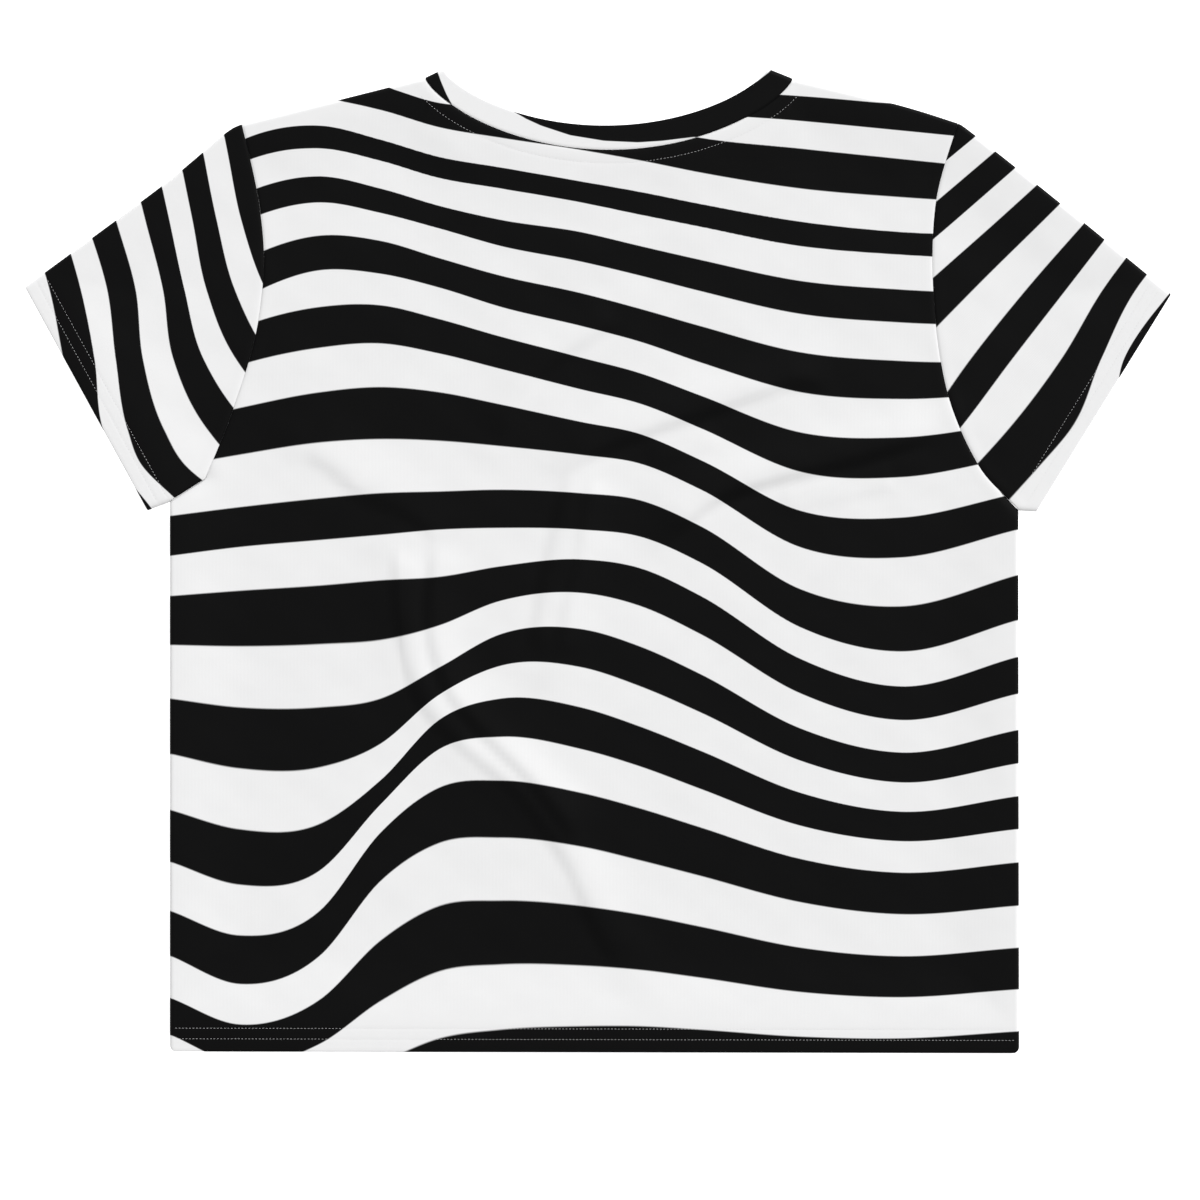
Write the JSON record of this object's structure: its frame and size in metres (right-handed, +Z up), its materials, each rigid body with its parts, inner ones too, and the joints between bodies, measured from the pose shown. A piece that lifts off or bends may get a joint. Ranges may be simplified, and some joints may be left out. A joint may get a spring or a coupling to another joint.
{
  "type": "crop top",
  "caption": "Cropped jersey top with short set-in sleeves, a round neckband and wavy black and white stripes, laid flat with its back up.",
  "frame": {"origin": "on the surface that the top lies on, under the middle of its outline", "axes": "+Z up through the cloth, from the front panel below to the back panel above; +Y from the hem to the neck; +X to the wearer's right"},
  "size_m": [0.6582, 0.5654, 0.0048],
  "materials": {
    "jersey": "matt brushed jersey with wavy black and white stripes",
    "thread": "soft grey sewing thread"
  },
  "bodies": {
    "root": {"front": "jersey", "back": "jersey", "sleeve_left": "jersey", "sleeve_right": "jersey", "neckband": "jersey"}
  },
  "joints": []
}
